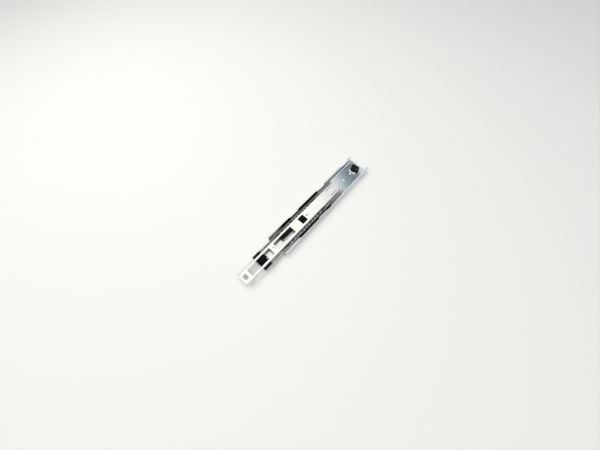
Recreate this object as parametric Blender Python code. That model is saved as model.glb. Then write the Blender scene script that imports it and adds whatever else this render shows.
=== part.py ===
"""Cabinet drawer slide: a side-mount, full-extension telescopic slide on two rows of balls.

The slide lies on its back. +X runs along it towards the rear of the cabinet, +Y runs across it, and +Z
comes out of the cabinet wall towards the drawer. The origin is the centre of the cabinet member's back
face. It is modelled partly open: the intermediate and the drawer member stand out towards -X.
"""
import math

import bmesh
import bpy
from mathutils import Vector

MM = 0.001

# Overall sizes
SLIDE_WIDTH = 45.0 * MM
SLIDE_THICKNESS = 12.7 * MM
MEMBER_LENGTH = 250.0 * MM
MID_SHORTER = 36.0 * MM
STAGE_TRAVEL = 125.0 * MM
MID_REST = 43.3 * MM
INNER_REST = 37.0 * MM

# Sheet metal, balls and clearances
SHEET = 1.2 * MM
RETAINER_SHEET = 0.6 * MM
BALL_RADIUS = 2.25 * MM
BALL_LIFT = 0.75 * MM
RACE_GAP = 0.15 * MM
GAP = 0.3 * MM
ROW_STEP_ANGLE = 30.0
RACE_WRAP = 35.0
CURL_WRAP = 60.0

# Cabinet member
WALL_DROP = 0.5 * MM
BEAD_RADIUS = 1.5 * MM
LIP_REACH = 2.6 * MM
LIP_BEND = 0.9 * MM
NOTCH_OVER_ROW = 2.8 * MM
NOTCH_START = 56.0 * MM
NOTCH_LENGTH = 23.4 * MM
NOTCH_PITCH = 78.8 * MM
NOTCH_COUNT = 3
LIP_RELIEFS = ((38.3 * MM, 52.7 * MM), (114.1 * MM, 11.5 * MM))
LIP_RELIEF_OFFSET = 0.1 * MM
LIP_SLOT = (7.5 * MM, 11.0 * MM, 0.9 * MM)
CABINET_HOLE_RADIUS = 2.3 * MM
FRONT_HOLES = (37.0 * MM, 133.0 * MM)
REAR_HOLES = (53.0 * MM, 30.3 * MM)
BUMPER_FROM_REAR = 13.6 * MM
BUMPER_LENGTH = 8.5 * MM
BUMPER_HEIGHT = 6.7 * MM
BUMPER_SIDE_ROOM = 1.6 * MM
BUMPER_ROUND = 2.4 * MM
PEG_RADIUS = 1.9 * MM
STOP_TAB_RADIUS = 11.6 * MM
STOP_TAB_WIDTH = 1.1 * MM
STOP_TAB_HEIGHT = 2.2 * MM
STOP_TAB_ANGLE = 42.0

# Intermediate member
ACCESS_HOLE_RADIUS = 4.6 * MM
STOP_LENGTH = 15.8 * MM
STOP_TAIL = 18.8 * MM
STOP_CAP_OVERHANG = 2.0 * MM
STOP_CAP_THICKNESS = 1.0 * MM
STOP_PEG_X = 8.0 * MM
STOP_PEG_Y = 6.0 * MM
SADDLE_FRONT = 0.4 * MM
SADDLE_SIDE_ROOM = 0.5 * MM
SADDLE_ROUND = 5.0 * MM
GATE_WIDTH = 3.0 * MM
GATE_EDGE_Y = 0.05 * MM

# Drawer member
INNER_BEND = 1.4 * MM
INNER_TURN = 0.9 * MM
SQUARE_HOLE = (7.4 * MM, 7.2 * MM, 9.6 * MM)
SQUARE_HOLE_CORNER = 0.6 * MM
FRONT_OPENING = (16.2 * MM, 67.6 * MM)
MIDDLE_OPENING = (78.0 * MM, 122.0 * MM)
OPENING_SIDE_ROOM = 2.75 * MM
OPENING_CORNER = 1.0 * MM
WINDOW = (141.9 * MM, 155.3 * MM)
LANCE_X = 72.8 * MM
LANCE_RADIUS = 3.0 * MM
LANCE_WIDTH = 0.9 * MM
TONGUE_LENGTH = 27.0 * MM
TONGUE_SIDE_ROOM = 3.2 * MM
SLIT_WIDTH = 1.1 * MM

# Release lever and its rivet
PIVOT_X = 160.3 * MM
RIVET_RADIUS = 1.4 * MM
RIVET_HEAD_RADIUS = 2.8 * MM
RIVET_HEAD_HEIGHT = 0.6 * MM
RIVET_SINK = 0.2 * MM
LEVER_THICKNESS = 3.0 * MM
LEVER_TAIL_X = 95.9 * MM
LEVER_FAR_ROOM = 2.7 * MM
LEVER_NEAR_ROOM = 4.3 * MM
LEVER_TIP_Y = 0.8 * MM
LEVER_CORNER_IN = 0.6 * MM
LEVER_KNEE_X = 127.0 * MM
LEVER_KNEE_Y = -0.6 * MM
LEVER_HEEL_X = 148.0 * MM
LEVER_NECK_Y = -3.9 * MM
LEVER_BOSS_RADIUS = 5.0 * MM
HOOK_Y = 0.25 * MM
HOOK_LENGTH = 2.5 * MM
HOOK_WIDTH = 1.8 * MM
SPRING_ARM_ROOT = (3.0 * MM, 3.0 * MM)
SPRING_ARM_LENGTH = 17.0 * MM
SPRING_ARM_THICKNESS = 1.0 * MM
SPRING_ARM_SIDE_ROOMS = (4.9 * MM, 3.7 * MM)

# Ball rows
BALL_PITCH = 6.6 * MM
GROUP_PITCH = 23.4 * MM
INNER_BALLS_PER_SIDE = 11
OUTER_BALLS_PER_SIDE = 11
RETAINER_END = 3.4 * MM
INNER_RAIL = (0.8 * MM, 1.24 * MM)
INNER_RAIL_CHAMFER = (0.36 * MM, 0.36 * MM)
OUTER_RAIL = (2.4 * MM, 3.2 * MM)
OUTER_RAIL_CHAMFER = (0.9 * MM, 1.5 * MM)

# Worked out from the sizes above
MID_LENGTH = MEMBER_LENGTH - MID_SHORTER
WALL_HEIGHT = SLIDE_THICKNESS - WALL_DROP
WALL_LINE = SLIDE_WIDTH / 2 - SHEET / 2
RACE_RADIUS = BALL_RADIUS + RACE_GAP
RACE_LINE = RACE_RADIUS + SHEET / 2
OUTER_ROW_Y = SLIDE_WIDTH / 2 - SHEET - RACE_RADIUS
OUTER_ROW_Z = SHEET + BALL_LIFT + BALL_RADIUS
CORNER_RADIUS = OUTER_ROW_Z - SHEET / 2
INNER_ROW_Y = OUTER_ROW_Y - 2 * RACE_LINE * math.cos(math.radians(ROW_STEP_ANGLE))
INNER_ROW_Z = OUTER_ROW_Z + 2 * RACE_LINE * math.sin(math.radians(ROW_STEP_ANGLE))
INNER_CLEAR = INNER_ROW_Y - RACE_LINE - SHEET / 2
OUTER_RETAINER_Z = SHEET + GAP + RETAINER_SHEET / 2
MID_WEB_Z = SHEET + 2 * GAP + RETAINER_SHEET + SHEET / 2
MID_WEB_TOP = MID_WEB_Z + SHEET / 2
MID_BEND = OUTER_ROW_Z - MID_WEB_Z
INNER_RETAINER_Z = MID_WEB_TOP + GAP + RETAINER_SHEET / 2
INNER_RETAINER_TOP = INNER_RETAINER_Z + RETAINER_SHEET / 2
INNER_WEB_Z = SLIDE_THICKNESS - SHEET / 2
INNER_WEB_UNDER = SLIDE_THICKNESS - SHEET
OPENING_HALF = INNER_CLEAR - OPENING_SIDE_ROOM
OUTER_FRONT = -MEMBER_LENGTH / 2
OUTER_REAR = MEMBER_LENGTH / 2
MID_FRONT = OUTER_FRONT - MID_REST
INNER_FRONT = MID_FRONT - INNER_REST


# --- outlines ---------------------------------------------------------------------------------------

def arc(centre, radius, start, end, steps):
    """Points on an arc about centre, angles in degrees, both ends included."""
    points = []
    for i in range(steps + 1):
        angle = math.radians(start + (end - start) * i / steps)
        points.append((centre[0] + radius * math.cos(angle), centre[1] + radius * math.sin(angle)))
    return points


def without_repeats(points):
    kept = [points[0]]
    for point in points[1:]:
        if math.dist(point, kept[-1]) > 1e-6:
            kept.append(point)
    return kept


def strip_outline(path, thickness):
    """The closed outline of a sheet of the given thickness whose middle follows the path."""
    path = without_repeats(path)
    left, right = [], []
    for i, point in enumerate(path):
        before = Vector(path[max(i - 1, 0)])
        after = Vector(path[min(i + 1, len(path) - 1)])
        here = Vector(point)
        into = (here - before).normalized() if i else (after - here).normalized()
        out = (after - here).normalized() if i < len(path) - 1 else into
        normal = Vector((-into.y - out.y, into.x + out.x)).normalized()
        reach = thickness / 2 / normal.dot(Vector((-into.y, into.x)))
        left.append(tuple(here + normal * reach))
        right.append(tuple(here - normal * reach))
    return right + left[::-1]


def mirrored(path):
    """A half path that starts at y = 0, continued to the other side."""
    return [(-y, z) for y, z in reversed(path)] + path[1:]


def rounded_box(x0, x1, half_width, radius, steps=4):
    """An upright box outline with round corners, seen from above."""
    points = []
    corners = ((x1, -1, -90), (x1, 1, 0), (x0, 1, 90), (x0, -1, 180))
    for x, side, start in corners:
        centre_x = x - radius if x == x1 else x + radius
        centre = (centre_x, side * (half_width - radius))
        points += arc(centre, radius, start, start + 90, steps)
    return points


# --- solids -----------------------------------------------------------------------------------------

def add_prism(bm, outline, low, high, axis):
    """Add a closed prism to bm. The outline lies in the plane across the axis, x or z."""
    def place(point, level):
        if axis == "x":
            return (level, point[0], point[1])
        return (point[0], point[1], level)

    bottom = [bm.verts.new(place(p, low)) for p in outline]
    top = [bm.verts.new(place(p, high)) for p in outline]
    count = len(outline)
    bm.faces.new(bottom[::-1])
    bm.faces.new(top)
    for i in range(count):
        j = (i + 1) % count
        bm.faces.new((bottom[i], bottom[j], top[j], top[i]))


def add_box(bm, low, high):
    outline = [(low[0], low[1]), (high[0], low[1]), (high[0], high[1]), (low[0], high[1])]
    add_prism(bm, outline, low[2], high[2], "z")


def add_upright_cylinder(bm, x, y, radius, low, high, steps=20):
    add_prism(bm, arc((x, y), radius, 0, 360 - 360 / steps, steps - 1), low, high, "z")


def add_cross_cylinder(bm, x, z, radius, y0, y1, steps=20):
    """A cylinder along Y."""
    ring = arc((x, z), radius, 0, 360 - 360 / steps, steps - 1)
    near = [bm.verts.new((px, y0, pz)) for px, pz in ring]
    far = [bm.verts.new((px, y1, pz)) for px, pz in ring]
    bm.faces.new(near)
    bm.faces.new(far[::-1])
    for i in range(steps):
        j = (i + 1) % steps
        bm.faces.new((near[j], near[i], far[i], far[j]))


def new_object(name, bm, parent, material=None):
    bmesh.ops.recalc_face_normals(bm, faces=bm.faces)
    mesh = bpy.data.meshes.new(name)
    bm.to_mesh(mesh)
    bm.free()
    thing = bpy.data.objects.new(name, mesh)
    bpy.context.collection.objects.link(thing)
    thing.parent = parent
    if material:
        mesh.materials.append(material)
    return thing


def smooth(thing, angle=30.0):
    thing.data.shade_smooth()
    thing.data.set_sharp_from_angle(angle=math.radians(angle))


def combine(thing, tool, operation):
    """Cut the tool out of thing, or join it on, with an exact Boolean modifier."""
    tool.hide_render = True
    tool.display_type = "WIRE"
    modifier = thing.modifiers.new(tool.name, "BOOLEAN")
    modifier.operation = operation
    modifier.solver = "EXACT"
    modifier.object = tool


def axis_empty(name, location, parent=None):
    empty = bpy.data.objects.new(name, None)
    empty.empty_display_size = 0.01
    empty.location = location
    empty.parent = parent
    bpy.context.collection.objects.link(empty)
    return empty


def make_material(name, colour, roughness, metallic):
    material = bpy.data.materials.new(name)
    material.use_nodes = True
    shader = material.node_tree.nodes["Principled BSDF"]
    shader.inputs["Base Color"].default_value = (*colour, 1.0)
    shader.inputs["Roughness"].default_value = roughness
    shader.inputs["Metallic"].default_value = metallic
    return material


# --- cross sections ---------------------------------------------------------------------------------

def cabinet_half(lip):
    """Middle line of half the cabinet member: web, round corner, race, bead and wall."""
    row = (OUTER_ROW_Y, OUTER_ROW_Z)
    corner = (WALL_LINE - CORNER_RADIUS, SHEET / 2 + CORNER_RADIUS)
    wrap = math.radians(RACE_WRAP)
    bead_y = row[0] + (RACE_LINE + BEAD_RADIUS) * math.cos(wrap)
    bead_z = row[1] + (RACE_LINE + BEAD_RADIUS) * math.sin(wrap)
    over_z = 2 * bead_z - row[1]
    path = [(0.0, SHEET / 2)]
    path += arc(corner, CORNER_RADIUS, -90, 0, 5)
    path += arc(row, RACE_LINE, 0, RACE_WRAP, 3)
    path += arc((bead_y, bead_z), BEAD_RADIUS, 180 + RACE_WRAP, 180 - RACE_WRAP, 4)
    path += arc((row[0], over_z), RACE_LINE, -RACE_WRAP, 0, 3)
    if not lip:
        path.append((WALL_LINE, WALL_HEIGHT))
        return path
    bend = (WALL_LINE - LIP_BEND, WALL_HEIGHT - SHEET / 2 - LIP_BEND)
    path += arc(bend, LIP_BEND, 0, 90, 3)
    path.append((SLIDE_WIDTH / 2 - LIP_REACH, WALL_HEIGHT - SHEET / 2))
    return path


def mid_half():
    """Middle line of half the intermediate member: an S between the two rows of balls."""
    path = [(0.0, MID_WEB_Z)]
    path += arc((OUTER_ROW_Y - RACE_LINE - MID_BEND, OUTER_ROW_Z), MID_BEND, -90, 0, 4)
    path += arc((OUTER_ROW_Y, OUTER_ROW_Z), RACE_LINE, 180, 180 - ROW_STEP_ANGLE, 3)
    path += arc((INNER_ROW_Y, INNER_ROW_Z), RACE_LINE, -ROW_STEP_ANGLE, CURL_WRAP, 6)
    return path


def inner_half():
    """Middle line of half the drawer member: web, round shoulder and race."""
    wrap = math.radians(RACE_WRAP)
    race_top_y = INNER_ROW_Y - RACE_LINE * math.cos(wrap)
    race_top_z = INNER_ROW_Z + RACE_LINE * math.sin(wrap)
    shoulder_y = race_top_y + INNER_TURN * (1 - math.cos(wrap))
    turn_z = race_top_z + INNER_TURN * math.sin(wrap)
    path = [(0.0, INNER_WEB_Z)]
    path += arc((shoulder_y - INNER_BEND, INNER_WEB_Z - INNER_BEND), INNER_BEND, 90, 0, 4)
    path += arc((shoulder_y - INNER_TURN, turn_z), INNER_TURN, 0, -RACE_WRAP, 2)
    path += arc((INNER_ROW_Y, INNER_ROW_Z), RACE_LINE, 180 - RACE_WRAP, 180 + RACE_WRAP, 5)
    return path


def inner_widest():
    wrap = math.radians(RACE_WRAP)
    race_top_y = INNER_ROW_Y - RACE_LINE * math.cos(wrap)
    return race_top_y + INNER_TURN * (1 - math.cos(wrap)) + SHEET / 2


def inner_flange_bottom():
    wrap = math.radians(RACE_WRAP)
    return INNER_ROW_Z - (RACE_LINE + SHEET / 2) * math.sin(wrap)


# --- members ----------------------------------------------------------------------------------------

def make_cabinet_member(parent, steel):
    left = [(-y, z) for y, z in reversed(cabinet_half(lip=True))]
    outline = strip_outline(left + cabinet_half(lip=False)[1:], SHEET)
    bm = bmesh.new()
    add_prism(bm, outline, OUTER_FRONT, OUTER_FRONT + MEMBER_LENGTH, "x")
    member = new_object("outer_member", bm, parent, steel)
    combine(member, stop_tab(parent), "UNION")
    combine(member, cabinet_cutters(parent), "DIFFERENCE")
    smooth(member)
    return member


def stop_tab(parent):
    """The curved tab pressed up out of the web just ahead of the rear bumper."""
    centre = (OUTER_REAR - BUMPER_FROM_REAR, 0.0)
    path = arc(centre, STOP_TAB_RADIUS, 180 - STOP_TAB_ANGLE, 180 + STOP_TAB_ANGLE, 10)
    bm = bmesh.new()
    add_prism(bm, strip_outline(path, STOP_TAB_WIDTH), SHEET / 2, SHEET + STOP_TAB_HEIGHT, "z")
    return new_object("stop_tab_tool", bm, parent)


def cabinet_cutters(parent):
    side = SLIDE_WIDTH / 2
    above = WALL_HEIGHT + SHEET
    bm = bmesh.new()
    for i in range(NOTCH_COUNT):
        start = OUTER_FRONT + NOTCH_START + i * NOTCH_PITCH
        low = (start, side - 3 * SHEET, OUTER_ROW_Z + NOTCH_OVER_ROW)
        add_box(bm, low, (start + NOTCH_LENGTH, side + SHEET, above))
    for start, length in LIP_RELIEFS:
        low = (OUTER_FRONT + start, -side + SHEET + LIP_RELIEF_OFFSET, WALL_HEIGHT - 2 * SHEET)
        add_box(bm, low, (OUTER_FRONT + start + length, -side + 3 * SHEET, above))
    slot_x, slot_length, slot_width = LIP_SLOT
    slot_y = -side + (SHEET + LIP_REACH) / 2 + SHEET / 2
    slot = rounded_box(slot_x - slot_length / 2, slot_x + slot_length / 2, slot_width / 2, slot_width / 2.2)
    slot = [(OUTER_FRONT + x, slot_y + y) for x, y in slot]
    add_prism(bm, slot, WALL_HEIGHT - 1.6 * SHEET, above, "z")
    for x in [OUTER_FRONT + x for x in FRONT_HOLES] + [OUTER_REAR - x for x in REAR_HOLES]:
        add_upright_cylinder(bm, x, 0.0, CABINET_HOLE_RADIUS, -SHEET, 2 * SHEET)
    peg_x = OUTER_REAR - BUMPER_FROM_REAR
    add_upright_cylinder(bm, peg_x, 0.0, PEG_RADIUS + GAP, -SHEET, 2 * SHEET)
    return new_object("cabinet_cutters", bm, parent)


def make_mid_member(parent, steel):
    bm = bmesh.new()
    add_prism(bm, strip_outline(mirrored(mid_half()), SHEET), 0.0, MID_LENGTH, "x")
    member = new_object("intermediate_member", bm, parent, steel)
    bm = bmesh.new()
    low, high = MID_WEB_Z - SHEET, MID_WEB_Z + SHEET
    access = STAGE_TRAVEL + FRONT_HOLES[0]
    add_upright_cylinder(bm, access, 0.0, ACCESS_HOLE_RADIUS, low, high, 28)
    for side in (-1, 1):
        add_upright_cylinder(bm, STOP_PEG_X, side * STOP_PEG_Y, PEG_RADIUS + GAP, low, high)
    combine(member, new_object("mid_cutters", bm, parent), "DIFFERENCE")
    smooth(member)
    return member


def make_inner_member(parent, steel):
    bm = bmesh.new()
    add_prism(bm, strip_outline(mirrored(inner_half()), SHEET), 0.0, MEMBER_LENGTH, "x")
    member = new_object("inner_member", bm, parent, steel)
    combine(member, inner_cutters(parent), "DIFFERENCE")
    smooth(member)
    return member


def inner_cutters(parent):
    low, high = INNER_WEB_UNDER - SHEET, SLIDE_THICKNESS + SHEET
    bm = bmesh.new()
    square_x, square_length, square_width = SQUARE_HOLE
    outline = rounded_box(square_x - square_length / 2, square_x + square_length / 2,
                          square_width / 2, SQUARE_HOLE_CORNER, 2)
    add_prism(bm, outline, low, high, "z")
    for x0, x1 in (FRONT_OPENING, MIDDLE_OPENING, WINDOW):
        add_prism(bm, rounded_box(x0, x1, OPENING_HALF, OPENING_CORNER, 3), low, high, "z")
    lance = arc((LANCE_X, 0.0), LANCE_RADIUS, -60, 120, 10)
    add_prism(bm, strip_outline(lance, LANCE_WIDTH), low, high, "z")
    add_upright_cylinder(bm, PIVOT_X, 0.0, RIVET_RADIUS + GAP, low, high)
    for side in (-1, 1):
        y = side * (INNER_CLEAR - TONGUE_SIDE_ROOM)
        corner = (MEMBER_LENGTH - TONGUE_LENGTH, y - SLIT_WIDTH / 2, low)
        add_box(bm, corner, (MEMBER_LENGTH + SHEET, y + SLIT_WIDTH / 2, high))
    return new_object("inner_cutters", bm, parent)


# --- retainers and balls ----------------------------------------------------------------------------

def ball_offsets(count):
    """Places along a retainer, from its middle: groups of three, taken from the middle outwards."""
    groups = range(-count, count + 1)
    places = [g * GROUP_PITCH + k * BALL_PITCH for g in groups for k in (-1, 0, 1)]
    places.sort(key=lambda x: (round(abs(x), 6), x))
    return sorted(places[:count])


def make_retainer(name, parent, row, web_z, count, rail, chamfer, material):
    """A U-shaped cage with a pocket round each ball. The rail is its thickness and its height over the row."""
    row_y, row_z = row
    thickness, rise = rail
    half_length = ball_offsets(count)[-1] + RACE_RADIUS + RETAINER_END
    low = web_z - RETAINER_SHEET / 2
    high = web_z + RETAINER_SHEET / 2
    near = row_y - thickness / 2
    far = row_y + thickness / 2
    half = [(far - chamfer[0], low), (far, low + chamfer[1]), (far, row_z + rise), (near, row_z + rise),
            (near, high)]
    outline = half + [(-y, z) for y, z in reversed(half)]
    bm = bmesh.new()
    add_prism(bm, outline, -half_length, half_length, "x")
    retainer = new_object(name, bm, parent, material)
    bm = bmesh.new()
    for x in ball_offsets(count):
        for side in (-1, 1):
            ends = sorted((side * (near - GAP), side * (far + GAP)))
            add_cross_cylinder(bm, x, row_z, RACE_RADIUS, *ends, steps=16)
    combine(retainer, new_object(f"{name}_pockets", bm, parent), "DIFFERENCE")
    smooth(retainer)
    return retainer


def make_balls(prefix, parent, row_y, row_z, count, steel):
    bm = bmesh.new()
    bmesh.ops.create_icosphere(bm, subdivisions=2, radius=BALL_RADIUS)
    mesh = bpy.data.meshes.new(f"{prefix}_ball")
    bm.to_mesh(mesh)
    bm.free()
    mesh.materials.append(steel)
    mesh.shade_smooth()
    for side, word in ((1, "left"), (-1, "right")):
        for i, x in enumerate(ball_offsets(count)):
            ball = bpy.data.objects.new(f"{prefix}_ball_{word}_{i + 1:02d}", mesh)
            bpy.context.collection.objects.link(ball)
            ball.parent = parent
            ball.location = (x, side * row_y, row_z)


# --- plastic and rubber pieces ----------------------------------------------------------------------

def stop_half_section():
    """Half the front stop's section: a saddle under the drawer member with a block each side of it."""
    base = MID_WEB_TOP + GAP
    floor = inner_flange_bottom() - GAP
    block_in = inner_widest() + GAP
    block_out = OUTER_ROW_Y - RACE_LINE - MID_BEND - GAP
    curl_top = INNER_ROW_Z + (RACE_LINE + SHEET / 2) * math.sin(math.radians(CURL_WRAP))
    cap_low = curl_top + GAP
    cap_high = cap_low + STOP_CAP_THICKNESS
    return [(block_out, base), (block_out, cap_low), (block_out + STOP_CAP_OVERHANG, cap_low),
            (block_out + STOP_CAP_OVERHANG, cap_high), (block_in, cap_high), (block_in, floor)]


def make_front_stop(parent, plastic):
    """The moulded stop in the intermediate member's front end, with a catch for the lever's hook."""
    half = stop_half_section()
    floor = half[-1][1]
    bm = bmesh.new()
    outline = half + [(-y, z) for y, z in reversed(half)]
    add_prism(bm, outline, 0.0, STOP_LENGTH, "x")
    stop = new_object("intermediate_front_stop", bm, parent, plastic)
    top = lever_heights()[0] - 2 * GAP
    half_width = INNER_CLEAR - SADDLE_SIDE_ROOM
    bm = bmesh.new()
    add_prism(bm, stop_saddle_outline(half_width), floor - GAP, top, "z")
    combine(stop, new_object("stop_saddle_tool", bm, parent), "UNION")
    bm = bmesh.new()
    for side in (-1, 1):
        low, high = MID_WEB_Z - SHEET / 2 + GAP, floor - GAP / 2
        add_upright_cylinder(bm, STOP_PEG_X, side * STOP_PEG_Y, PEG_RADIUS, low, high, 16)
    combine(stop, new_object("stop_peg_tools", bm, parent), "UNION")
    bm = bmesh.new()
    add_box(bm, (-MM, -GATE_WIDTH, floor), (STOP_TAIL + MM, GATE_EDGE_Y, top + MM))
    combine(stop, new_object("stop_gate_tool", bm, parent), "DIFFERENCE")
    bm = bmesh.new()
    corner = (STOP_LENGTH, -half_width - MM, floor - MM)
    add_box(bm, corner, (STOP_TAIL + MM, half_width + MM, INNER_RETAINER_TOP + GAP))
    combine(stop, new_object("stop_tail_tool", bm, parent), "DIFFERENCE")
    smooth(stop)
    return stop


def stop_saddle_outline(half_width):
    """The saddle from above: a flat front end and a rounded rear end."""
    round_start = STOP_TAIL - SADDLE_ROUND
    rear = []
    for i in range(9):
        angle = math.radians(-90 + 180 * i / 8)
        rear.append((round_start + SADDLE_ROUND * math.cos(angle), half_width * math.sin(angle)))
    return [(SADDLE_FRONT, -half_width)] + rear + [(SADDLE_FRONT, half_width)]


def make_rear_bumper(parent, rubber):
    centre = OUTER_REAR - BUMPER_FROM_REAR
    half_width = INNER_CLEAR - BUMPER_SIDE_ROOM
    outline = rounded_box(centre - BUMPER_LENGTH / 2, centre + BUMPER_LENGTH / 2, half_width,
                          BUMPER_ROUND, 5)
    bm = bmesh.new()
    add_prism(bm, outline, SHEET + GAP, SHEET + GAP + BUMPER_HEIGHT, "z")
    bumper = new_object("rear_bumper", bm, parent, rubber)
    bm = bmesh.new()
    add_upright_cylinder(bm, centre, 0.0, PEG_RADIUS, GAP, SHEET + 2 * GAP)
    combine(bumper, new_object("bumper_peg_tool", bm, parent), "UNION")
    smooth(bumper)
    return bumper


def lever_heights():
    top = INNER_WEB_UNDER - GAP
    return top - LEVER_THICKNESS, top


def make_release_lever(parent, plastic):
    """The lever that lets the drawer member off. Its origin is on the rivet's axis."""
    low, high = lever_heights()
    tail_x = LEVER_TAIL_X - PIVOT_X
    wide_x = WINDOW[1] - PIVOT_X
    corner_x = WINDOW[0] - PIVOT_X
    far_y = INNER_CLEAR - LEVER_FAR_ROOM
    near_y = LEVER_NEAR_ROOM - INNER_CLEAR
    outline = [(tail_x, LEVER_TIP_Y), (LEVER_KNEE_X - PIVOT_X, LEVER_KNEE_Y)]
    outline += [(corner_x, near_y + LEVER_CORNER_IN), (LEVER_HEEL_X - PIVOT_X, near_y)]
    outline += [(wide_x, LEVER_NECK_Y)] + arc((0.0, 0.0), LEVER_BOSS_RADIUS, -120, 80, 10)
    outline += [(wide_x, far_y), (tail_x, far_y)]
    bm = bmesh.new()
    add_prism(bm, outline, low, high, "z")
    lever = new_object("release_lever", bm, parent, plastic)
    hook_x = STAGE_TRAVEL + STOP_TAIL + GAP - PIVOT_X
    corner = (hook_x, HOOK_Y, INNER_RETAINER_TOP + GAP)
    bm = bmesh.new()
    add_box(bm, corner, (hook_x + HOOK_LENGTH, HOOK_Y + HOOK_WIDTH, low + GAP))
    combine(lever, new_object("hook_tool", bm, parent), "UNION")
    bm = bmesh.new()
    outline = strip_outline(spring_arm_path(), SPRING_ARM_THICKNESS)
    add_prism(bm, outline, low + GAP, high - GAP, "z")
    combine(lever, new_object("spring_arm_tool", bm, parent), "UNION")
    bm = bmesh.new()
    add_upright_cylinder(bm, 0.0, 0.0, RIVET_RADIUS + GAP, low - MM, high + MM)
    combine(lever, new_object("lever_bore_tool", bm, parent), "DIFFERENCE")
    smooth(lever)
    return lever


def spring_arm_path():
    """The springy finger behind the lever's boss, from its root to its tip, seen from above."""
    root_x, root_y = SPRING_ARM_ROOT
    mid_room, tip_room = SPRING_ARM_SIDE_ROOMS
    middle = (root_x + SPRING_ARM_LENGTH / 2, INNER_CLEAR - mid_room)
    return [(root_x, root_y), middle, (root_x + SPRING_ARM_LENGTH, INNER_CLEAR - tip_room)]


def make_rivet(parent, steel):
    """The lever's rivet: a shank through the web with its head under the lever."""
    low = lever_heights()[0] - GAP - RIVET_HEAD_HEIGHT
    bm = bmesh.new()
    add_upright_cylinder(bm, 0.0, 0.0, RIVET_HEAD_RADIUS, low, low + RIVET_HEAD_HEIGHT, 24)
    rivet = new_object("lever_rivet", bm, parent, steel)
    bm = bmesh.new()
    shank_low = low + RIVET_HEAD_HEIGHT / 2
    add_upright_cylinder(bm, 0.0, 0.0, RIVET_RADIUS, shank_low, SLIDE_THICKNESS - RIVET_SINK)
    combine(rivet, new_object("rivet_shank_tool", bm, parent), "UNION")
    smooth(rivet)
    return rivet


def build():
    for thing in list(bpy.data.objects):
        bpy.data.objects.remove(thing, do_unlink=True)
    zinc = make_material("zinc_steel", (0.80, 0.82, 0.84), 0.22, 1.0)
    cage = make_material("retainer_steel", (0.62, 0.64, 0.66), 0.30, 1.0)
    chrome = make_material("ball_steel", (0.85, 0.86, 0.88), 0.08, 1.0)
    plastic = make_material("black_plastic", (0.012, 0.012, 0.013), 0.38, 0.0)
    rubber = make_material("black_rubber", (0.015, 0.015, 0.015), 0.55, 0.0)

    cabinet = axis_empty("cabinet_body", (0.0, 0.0, 0.0))
    mid = axis_empty("intermediate_body", (MID_FRONT, 0.0, 0.0), cabinet)
    inner = axis_empty("drawer_body", (INNER_FRONT - MID_FRONT, 0.0, 0.0), mid)
    outer_cage_x = (OUTER_FRONT + MID_FRONT + MID_LENGTH) / 2
    inner_cage_x = (INNER_FRONT + MEMBER_LENGTH - MID_FRONT) / 2
    outer_cage = axis_empty("outer_cage_body", (outer_cage_x, 0.0, 0.0), cabinet)
    inner_cage = axis_empty("inner_cage_body", (inner_cage_x, 0.0, 0.0), mid)
    pivot = axis_empty("lever_axis", (PIVOT_X, 0.0, 0.0), inner)

    make_cabinet_member(cabinet, zinc)
    make_rear_bumper(cabinet, rubber)
    make_mid_member(mid, zinc)
    make_front_stop(mid, plastic)
    make_inner_member(inner, zinc)
    make_release_lever(pivot, plastic)
    make_rivet(pivot, make_material("rivet_steel", (0.60, 0.61, 0.63), 0.35, 1.0))
    outer_row = (OUTER_ROW_Y, OUTER_ROW_Z)
    inner_row = (INNER_ROW_Y, INNER_ROW_Z)
    make_retainer("outer_ball_retainer", outer_cage, outer_row, OUTER_RETAINER_Z,
                  OUTER_BALLS_PER_SIDE, OUTER_RAIL, OUTER_RAIL_CHAMFER, plastic)
    make_retainer("inner_ball_retainer", inner_cage, inner_row, INNER_RETAINER_Z,
                  INNER_BALLS_PER_SIDE, INNER_RAIL, INNER_RAIL_CHAMFER, cage)
    make_balls("outer", outer_cage, OUTER_ROW_Y, OUTER_ROW_Z, OUTER_BALLS_PER_SIDE, chrome)
    make_balls("inner", inner_cage, INNER_ROW_Y, INNER_ROW_Z, INNER_BALLS_PER_SIDE, chrome)


build()
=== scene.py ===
"""The looks of the cabinet drawer slide: zinc-plated sheet, chrome balls, black mouldings, studio."""
import math

import bmesh
import bpy
from mathutils import Matrix, Vector
from mathutils.geometry import delaunay_2d_cdt


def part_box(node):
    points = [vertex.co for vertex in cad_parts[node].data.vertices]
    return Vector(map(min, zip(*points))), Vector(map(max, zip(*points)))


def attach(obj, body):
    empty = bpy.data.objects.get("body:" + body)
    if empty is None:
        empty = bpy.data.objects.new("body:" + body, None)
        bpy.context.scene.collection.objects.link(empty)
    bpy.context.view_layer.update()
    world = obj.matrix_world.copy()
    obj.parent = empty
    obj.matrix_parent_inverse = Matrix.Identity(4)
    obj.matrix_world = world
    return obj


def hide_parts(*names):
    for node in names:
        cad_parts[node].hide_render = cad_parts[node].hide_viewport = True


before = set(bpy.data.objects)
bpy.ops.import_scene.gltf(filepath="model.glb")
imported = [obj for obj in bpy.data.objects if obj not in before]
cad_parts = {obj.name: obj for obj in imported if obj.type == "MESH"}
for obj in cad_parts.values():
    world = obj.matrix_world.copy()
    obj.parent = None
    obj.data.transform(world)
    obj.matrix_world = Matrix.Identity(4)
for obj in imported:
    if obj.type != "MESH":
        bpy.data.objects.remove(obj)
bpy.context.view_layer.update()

MM = 0.001

# Sheet and clearances
SHEET = 1.2 * MM
GAP = 0.3 * MM
RACE_GAP = 0.15 * MM
ROW_STEP_ANGLE = 30.0
RACE_WRAP = 35.0
CURL_WRAP = 60.0
SHEET_EDGE = 0.14 * MM
WALL_INSET = 0.01 * MM

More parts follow.
